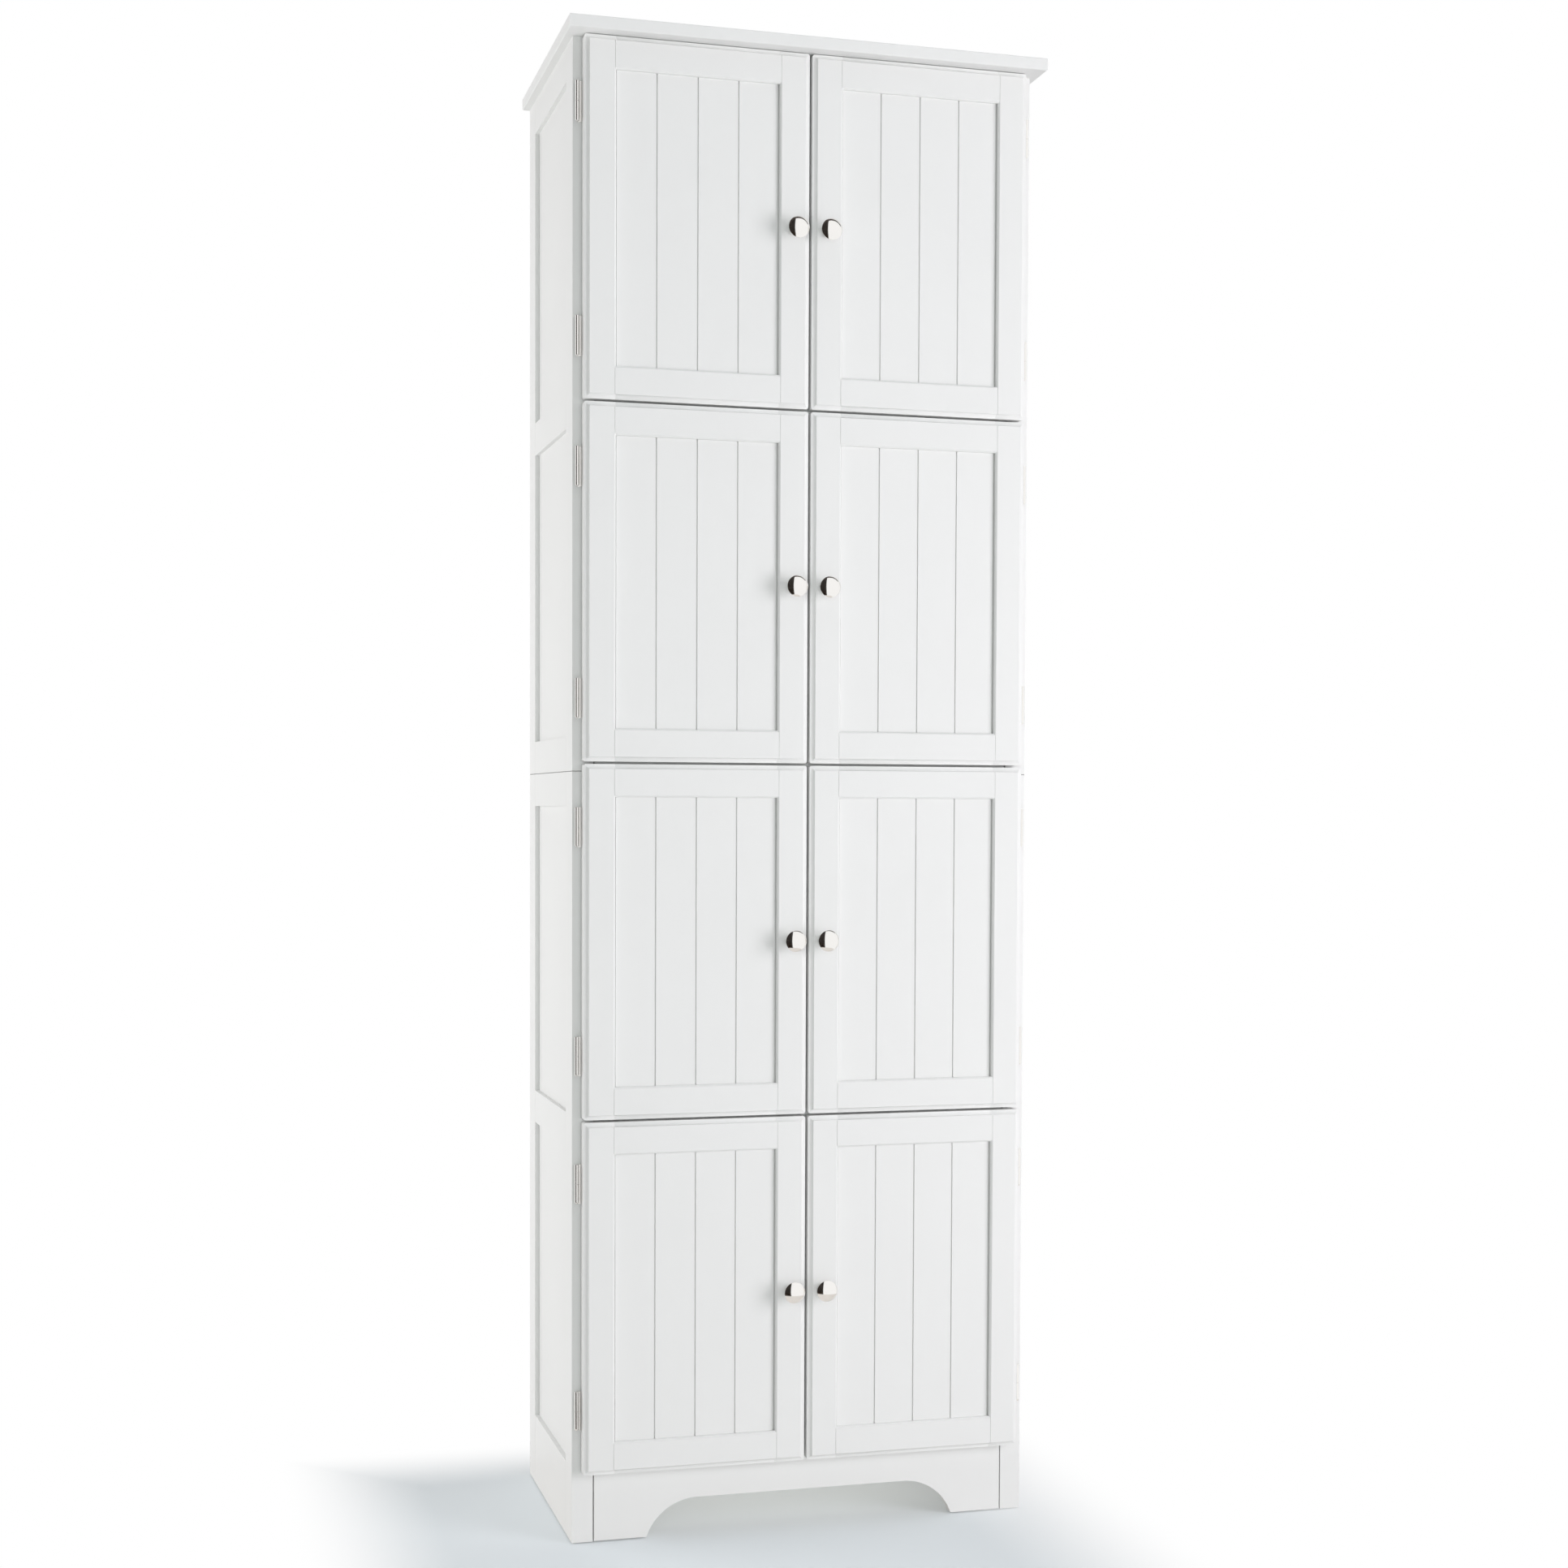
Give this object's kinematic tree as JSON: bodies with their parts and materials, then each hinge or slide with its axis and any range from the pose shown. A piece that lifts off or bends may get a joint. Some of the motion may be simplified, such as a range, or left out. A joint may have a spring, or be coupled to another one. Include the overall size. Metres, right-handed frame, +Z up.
{
  "type": "tall cabinet",
  "caption": "Tall painted wooden storage cabinet with stacked pairs of hinged beadboard doors, metal knobs, panelled sides, an overhanging top and an arched base.",
  "frame": {"origin": "on the floor, under the middle of the whole object, knobs and top board included", "axes": "+Z up, front with the doors towards -Y, +X to the right seen from the front"},
  "size_m": [0.601, 0.3582, 1.829],
  "materials": {
    "white_paint": "satin white paint",
    "back_board": "white faced hardboard",
    "nickel": "satin nickel plate",
    "zinc": "zinc, as cast and plated",
    "white_plastic": "moulded, matte",
    "grey_plastic": "moulded, matte",
    "beech": "bare, fluted"
  },
  "bodies": {
    "carcass": {"top_board": "white_paint", "lower_left_front_post": "white_paint", "lower_left_back_post": "white_paint", "lower_right_front_post": "white_paint", "lower_right_back_post": "white_paint", "upper_left_front_post": "white_paint", "upper_left_back_post": "white_paint", "upper_right_front_post": "white_paint", "upper_right_back_post": "white_paint", "lower_left_side_rails": "white_paint", "lower_right_side_rails": "white_paint", "upper_left_side_rails": "white_paint", "upper_right_side_rails": "white_paint", "lower_side_panels": "white_paint", "upper_side_panels": "white_paint", "bottom_shelf": "white_paint", "lower_shelf": "white_paint", "middle_shelf": "white_paint", "upper_shelf": "white_paint", "apron": "white_paint", "lower_back_panel": "back_board", "upper_back_panel": "back_board", "frame_hinge_leaves": "nickel", "hinge_pins": "nickel", "door_catches": "white_plastic", "cam_fittings": "zinc", "dowels": "beech", "glides": "grey_plastic"},
    "bottom_left_door": {"bottom_left_door_frame": "white_paint", "bottom_left_door_panel": "white_paint", "bottom_left_door_knob": "nickel", "bottom_left_door_hinge_leaves": "nickel"},
    "bottom_right_door": {"bottom_right_door_frame": "white_paint", "bottom_right_door_panel": "white_paint", "bottom_right_door_knob": "nickel", "bottom_right_door_hinge_leaves": "nickel"},
    "lower_left_door": {"lower_left_door_frame": "white_paint", "lower_left_door_panel": "white_paint", "lower_left_door_knob": "nickel", "lower_left_door_hinge_leaves": "nickel"},
    "lower_right_door": {"lower_right_door_frame": "white_paint", "lower_right_door_panel": "white_paint", "lower_right_door_knob": "nickel", "lower_right_door_hinge_leaves": "nickel"},
    "upper_left_door": {"upper_left_door_frame": "white_paint", "upper_left_door_panel": "white_paint", "upper_left_door_knob": "nickel", "upper_left_door_hinge_leaves": "nickel"},
    "upper_right_door": {"upper_right_door_frame": "white_paint", "upper_right_door_panel": "white_paint", "upper_right_door_knob": "nickel", "upper_right_door_hinge_leaves": "nickel"},
    "top_left_door": {"top_left_door_frame": "white_paint", "top_left_door_panel": "white_paint", "top_left_door_knob": "nickel", "top_left_door_hinge_leaves": "nickel"},
    "top_right_door": {"top_right_door_frame": "white_paint", "top_right_door_panel": "white_paint", "top_right_door_knob": "nickel", "top_right_door_hinge_leaves": "nickel"}
  },
  "joints": [
    {"name": "bottom_left_door_hinge", "type": "hinge", "parent": "carcass", "child": "bottom_left_door", "pos_m": [-0.2853, -0.136, 0.3025], "axis": [0, 0, -1], "range_deg": [0, 170]},
    {"name": "bottom_right_door_hinge", "type": "hinge", "parent": "carcass", "child": "bottom_right_door", "pos_m": [0.2853, -0.136, 0.3025], "axis": [0, 0, 1], "range_deg": [0, 170]},
    {"name": "lower_left_door_hinge", "type": "hinge", "parent": "carcass", "child": "lower_left_door", "pos_m": [-0.2853, -0.136, 0.7345], "axis": [0, 0, -1], "range_deg": [0, 170]},
    {"name": "lower_right_door_hinge", "type": "hinge", "parent": "carcass", "child": "lower_right_door", "pos_m": [0.2853, -0.136, 0.7345], "axis": [0, 0, 1], "range_deg": [0, 170]},
    {"name": "upper_left_door_hinge", "type": "hinge", "parent": "carcass", "child": "upper_left_door", "pos_m": [-0.2853, -0.136, 1.1665], "axis": [0, 0, -1], "range_deg": [0, 170]},
    {"name": "upper_right_door_hinge", "type": "hinge", "parent": "carcass", "child": "upper_right_door", "pos_m": [0.2853, -0.136, 1.1665], "axis": [0, 0, 1], "range_deg": [0, 170]},
    {"name": "top_left_door_hinge", "type": "hinge", "parent": "carcass", "child": "top_left_door", "pos_m": [-0.2853, -0.136, 1.5985], "axis": [0, 0, -1], "range_deg": [0, 170]},
    {"name": "top_right_door_hinge", "type": "hinge", "parent": "carcass", "child": "top_right_door", "pos_m": [0.2853, -0.136, 1.5985], "axis": [0, 0, 1], "range_deg": [0, 170]}
  ]
}
